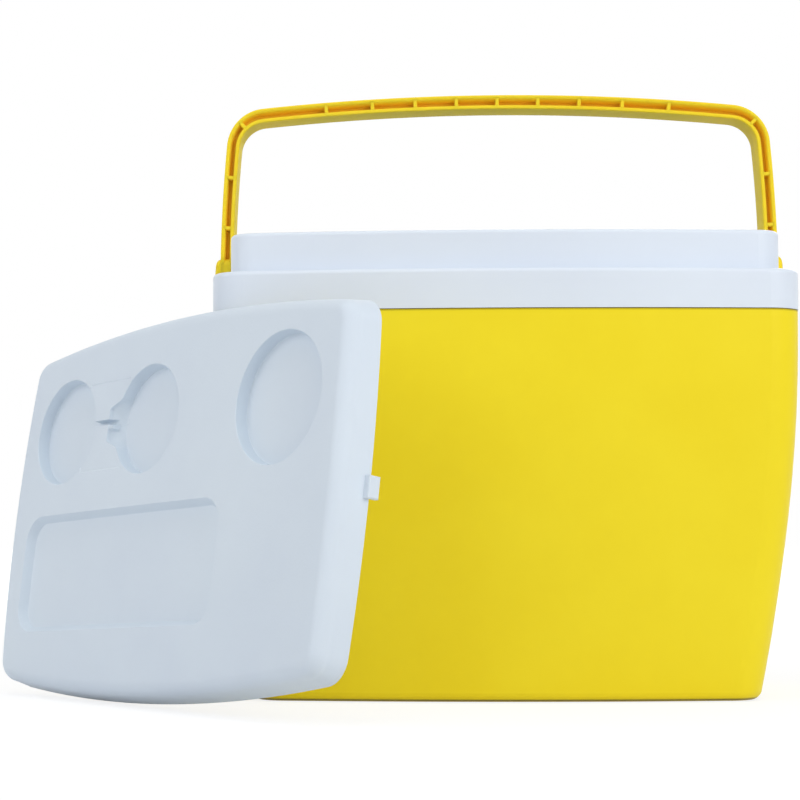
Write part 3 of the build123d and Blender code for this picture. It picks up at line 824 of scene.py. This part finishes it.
def face_grid(recesses):
    """Even places on the parts of the face that lie clear of its border and of every wall."""
    columns = range(-int(lid_half_u / grid_pitch), int(lid_half_u / grid_pitch) + 1)
    rows = range(-int(lid_half_v / grid_pitch), int(lid_half_v / grid_pitch) + 1)
    grid = np.array([(column * grid_pitch, row * grid_pitch) for column in columns for row in rows])
    clear = outline_distance(grid, lid_outline(0.0)) < -shoulder_inset - grid_border_gap
    for recess in recesses:
        distance = recess.distance(grid)
        outside = distance > recess.wall[0][0] + grid_wall_gap
        inside = distance < recess.wall[-1][0] - grid_wall_gap
        clear &= outside | inside
    return [tuple(place) for place in grid[clear]]


def face_mesh(border, wells, tab, plaque):
    """Places and triangles of the face, seen from above, with edges along each wall."""
    flat_points = []
    edges = []
    add_loop(flat_points, edges, border)
    recesses = [*wells, tab, plaque]
    for recess in recesses:
        for offset, _ in recess.wall:
            loop = [(u + nu * offset, v + nv * offset) for u, v, nu, nv in recess.outline]
            add_loop(flat_points, edges, loop)
    foot_radius = next(notched_foot_radius(well.wall) for well in wells if well.notched)
    for offset in foot_circle_offsets:
        foot_circle = circle_outline(middle_cup_u, cup_row_v, foot_radius + offset)
        add_loop(flat_points, edges, [(u, v) for u, v, _, _ in foot_circle])
    add_loop(flat_points, edges, [(u, v) for u, v, _, _ in lid_outline(inner_inset)])
    flat_points += face_grid(recesses)
    vectors = [Vector(place) for place in flat_points]
    outside = [list(range(len(border)))]
    flat = delaunay_2d_cdt(vectors, edges, outside, 1, merge_distance)
    return np.array([tuple(place) for place in flat[0]]), flat[2]


def make_lid_cover():
    """Lid moulding: crowned face with wells and opener, round shoulders and a drafted skirt."""
    points = []
    faces = []
    border = add_skirt(points, faces)
    face_start = len(points)
    wells = lid_wells()
    tab = opener_tab()
    plaque = opener_plaque()
    places, triangles = face_mesh(border, wells, tab, plaque)
    depth, wall_shade_share = face_depths(places, wells, tab, plaque)
    heights = face_w(places[:, 0], places[:, 1]) - depth
    points += [(u, v, w) for (u, v), w in zip(places.tolist(), heights.tolist())]
    faces += [tuple(face_start + i for i in face) for face in triangles]
    cover = make_piece("lid_moulding", points, faces, "lid", "white_lid", lid_place)
    set_recess_shade(cover, [0.0] * face_start + wall_shade_share.tolist())
    tidy_normals(cover, lid_sharp_angle)
    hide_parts("lid_cover")


make_lid_cover()

# ---------------------------------------------------------------------------
# Handle: a drafted channel that is open at the front, with ribs and domed hubs.
# ---------------------------------------------------------------------------
pivot_y = -10.9
pivot_z = 354.2
loop_centre_z = 343.3
loop_half_x = 227.4
loop_half_z = 154.4
leg_bow = 7.6
grip_bow = 12.1
loop_corner = 24.0
leg_end_drop = 3.0
band_spacing = 4.0
rib_search_step = 0.4
straight_share = 0.9
handle_sharp_angle = 40.0

# Section of the band, which swells a little from the legs to the grip. The outer wall has a rounder lip,
# and the legs are relieved on their inner side. The recess floor is given by its points' numbers.
band_thick = 10.2
band_inner = -0.6
grip_front_swell = 0.8
grip_front_sink = 0.3
grip_back_rise = 0.4
band_front_y = -20.9
band_rear_y = 17.1
wall_tip = 3.1
tip_radius = 0.9
back_radius = 2.4
recess_depth = 10.0
recess_draft = 0.6
recess_fillet = 0.8
# Points of the recess floor, by their numbers, take the painted recess shade.
recess_shade_points = range(10, 16)
lip_tip = wall_tip + 0.1
lip_radius = 1.3
lip_draft = 1.2
grip_lip_tip_extra = 0.5
grip_lip_radius_extra = 1.2
relief_front_y = -8.6
relief_depth = 5.4
relief_fade = 3.0
relief_step = 0.3
relief_top_z = pivot_z + 34.0

# Ribs: places along one half of the grip, and heights above the pivot on a leg.
grip_rib_places = (0.0, 34.6, 70.1, 106.5, 146.1)
leg_rib_rises = (84.9, 41.5)
rib_half = 1.5
rib_taper = 0.3
rib_chamfer = (0.5, 0.6)
rib_overlap = 1.6
rib_drop = 0.35
rib_root = 0.5

# Hubs; the dome is a run of (x, inset) rings.
hub_rise = 15.0
hub_heel = 10.15
hub_corner = 6.0
heel_steps = 8
hub_inner_x = 230.0
hub_face_x = 226.95
hub_face_lap = 0.5
hub_dome = ((237.2, 0.0), (238.9, 0.45), (240.3, 1.4), (241.3, 2.9), (241.9, 4.8))


def corner_arc(centre_u, centre_v, radius, start, end, steps=4):
    """Points of a small corner arc, angles in degrees."""
    angles = [math.radians(start + (end - start) * step / steps) for step in range(steps + 1)]
    return [(centre_u + radius * math.cos(a), centre_v + radius * math.sin(a)) for a in angles]


def band_section(normal_z, height):
    """Closed section of the band as (outward offset, y), with the recess floor at its own numbers."""
    grip = max(normal_z, 0.0) ** 2
    front_in = band_inner - grip_front_sink * grip
    front_out = band_thick + grip_front_swell * grip
    back_in = band_inner + grip_back_rise * grip
    relief = relief_depth * min(max((relief_top_z - height) / relief_fade, 0.0), 1.0)
    tip_y = band_front_y + tip_radius
    floor_y = band_front_y + recess_depth - recess_fillet
    back_y = band_rear_y - back_radius
    round_lip = lip_radius + grip_lip_radius_extra * grip
    lip_in = front_out - lip_tip - grip_lip_tip_extra * grip
    floor_in = front_in + wall_tip + recess_draft + recess_fillet
    floor_out = lip_in - lip_draft - recess_fillet
    section = corner_arc(front_in + tip_radius, tip_y, tip_radius, 180.0, 270.0)
    section += corner_arc(front_in + wall_tip - tip_radius, tip_y, tip_radius, 270.0, 360.0)
    section += corner_arc(floor_in, floor_y, recess_fillet, 180.0, 90.0, 2)
    section += corner_arc(floor_out, floor_y, recess_fillet, 90.0, 0.0, 2)
    section += corner_arc(lip_in + round_lip, band_front_y + round_lip, round_lip, 180.0, 270.0)
    section += corner_arc(front_out - tip_radius, tip_y, tip_radius, 270.0, 360.0)
    section += corner_arc(band_thick - back_radius, back_y, back_radius, 0.0, 90.0)
    section += corner_arc(back_in + relief + back_radius, back_y, back_radius, 90.0, 180.0)
    section.append((back_in + relief, relief_front_y))
    section.append((back_in, relief_front_y - relief_step))
    return section


def handle_path(spacing, corner_step):
    """Inner line of the band, from hub to hub over the grip, as (x, z, normal x, normal z)."""
    outline = bowed_outline(
        loop_half_x, loop_half_z, leg_bow, grip_bow, loop_corner, spacing, corner_step
    )
    arch = [(x, z + loop_centre_z, nx, nz) for x, z, nx, nz in outline[: len(outline) // 2 + 1]]
    return [place for place in arch if place[1] >= pivot_z - leg_end_drop]


def close_ends(faces, first, second, size):
    """Close the first and the last ring of a run of rings."""
    faces.append(tuple(first + i for i in range(size))[::-1])
    faces.append(tuple(second + i for i in range(size)))


def add_band(points, faces, shade_shares):
    """Sweep the section along the arch; shade shares tell how deep in the recess each point lies, for
    its painted shade.
    """
    size = len(band_section(0.0, pivot_z))
    for x, z, nx, nz in handle_path(band_spacing, corner_spacing):
        points.extend((x + nx * offset, y, z + nz * offset) for offset, y in band_section(nz, z))
        shade_shares.extend(1.0 if number in recess_shade_points else 0.0 for number in range(size))
        if len(points) > size:
            faces.extend(ring_faces(len(points) - 2 * size, len(points) - size, size))
    close_ends(faces, 0, len(points) - size, size)


def add_rib(points, faces, shade_shares, place):
    """One drafted rib across the recess, at a point of the arch."""
    x, z, nx, nz = place
    offsets = [offset for offset, _ in band_section(nz, z)]
    inner = offsets[0] + rib_overlap
    outer = max(offsets) - rib_overlap
    tip_y = band_front_y + rib_drop
    root_y = band_front_y + recess_depth + rib_root
    profile = [(-rib_half - rib_taper, root_y)]
    profile.append((-rib_half, tip_y + rib_chamfer[1]))
    profile.append((rib_chamfer[0] - rib_half, tip_y))
    profile += [(-along, y) for along, y in profile[::-1]]
    first = len(points)
    for offset in (inner, outer):
        for along, y in profile:
            points.append((x + nx * offset - nz * along, y, z + nz * offset + nx * along))
            # Painted recess shade grows with depth down the rib.
            shade_shares.append(max(0.0, (y - tip_y) / recess_depth))
    size = len(profile)
    faces.extend(ring_faces(first, first + size, size))
    close_ends(faces, first, first + size, size)


def add_hub(points, faces, shade_shares, side):
    """Hub block at the foot of a leg: rounded about the pivot in front, domed outward."""
    rear = band_rear_y - pivot_y
    corner_z = hub_rise - hub_corner
    outline = corner_arc(rear - hub_corner, corner_z, hub_corner, 0.0, 90.0)
    outline += corner_arc(hub_corner - hub_heel, corner_z, hub_corner, 90.0, 180.0)
    outline += corner_arc(0.0, 0.0, hub_heel, 180.0, 270.0, heel_steps)
    outline += corner_arc(rear - hub_corner, hub_corner - hub_heel, hub_corner, 270.0, 360.0)
    size = len(outline)
    middle = (0.5 * (rear - hub_heel), 0.5 * (hub_rise - hub_heel))
    reach = (0.5 * (rear + hub_heel), 0.5 * (hub_rise + hub_heel))
    first = len(points)
    for ring_x, inset in ((hub_inner_x, 0.0), *hub_dome):
        for y, z in outline:
            ring_y = y - inset * (y - middle[0]) / reach[0]
            ring_z = z - inset * (z - middle[1]) / reach[1]
            points.append((side * ring_x, pivot_y + ring_y, pivot_z + ring_z))
            shade_shares.append(0.0)
        if len(points) > first + size:
            faces.extend(ring_faces(len(points) - 2 * size, len(points) - size, size))
    close_ends(faces, first, len(points) - size, size)


def add_hub_face(points, faces, shade_shares, side):
    """Flat front of the hub that closes the foot of the leg's recess."""
    rear = relief_front_y - pivot_y - hub_face_lap
    outline = [(rear, hub_rise), (rear, -math.sqrt(hub_heel**2 - rear**2))]
    outline += corner_arc(0.0, 0.0, hub_heel, 270.0, 180.0, heel_steps)
    outline += corner_arc(hub_corner - hub_heel, hub_rise - hub_corner, hub_corner, 180.0, 90.0)
    size = len(outline)
    first = len(points)
    for face_x in (hub_face_x, hub_inner_x):
        for y, z in outline:
            points.append((side * face_x, pivot_y + y, pivot_z + z))
            shade_shares.append(0.0)
    faces.extend(ring_faces(first, first + size, size))
    close_ends(faces, first, first + size, size)


def rib_places(side):
    """Points of the arch that carry a rib on one side; the middle rib belongs to the right side."""
    fine = handle_path(rib_search_step, rib_search_step)
    grip = [place for place in fine if place[3] > straight_share]
    half = [place for place in fine if place[0] * side > 0]
    leg = [place for place in half if abs(place[2]) > straight_share]
    places = []
    for rib_x in grip_rib_places:
        if side > 0 or rib_x > 0:
            places.append(min(grip, key=lambda place: abs(place[0] - side * rib_x)))
    for rise in leg_rib_rises:
        places.append(min(leg, key=lambda place: abs(place[1] - pivot_z - rise)))
    places.append(min(half, key=lambda place: abs(place[3] - abs(place[2]))))
    return places


def make_handle():
    """Bail handle in one moulding: band, ribs and hubs."""
    points = []
    faces = []
    shade_shares = []
    add_band(points, faces, shade_shares)
    for side in (-1, 1):
        for place in rib_places(side):
            add_rib(points, faces, shade_shares, place)
        add_hub(points, faces, shade_shares, side)
        add_hub_face(points, faces, shade_shares, side)
    handle = make_piece("handle_moulding", points, faces, "bail", "yellow_handle")
    set_recess_shade(handle, shade_shares)
    tidy_normals(handle, handle_sharp_angle)
    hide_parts("handle")


make_handle()

bpy.context.scene.view_settings.view_transform = "Standard"
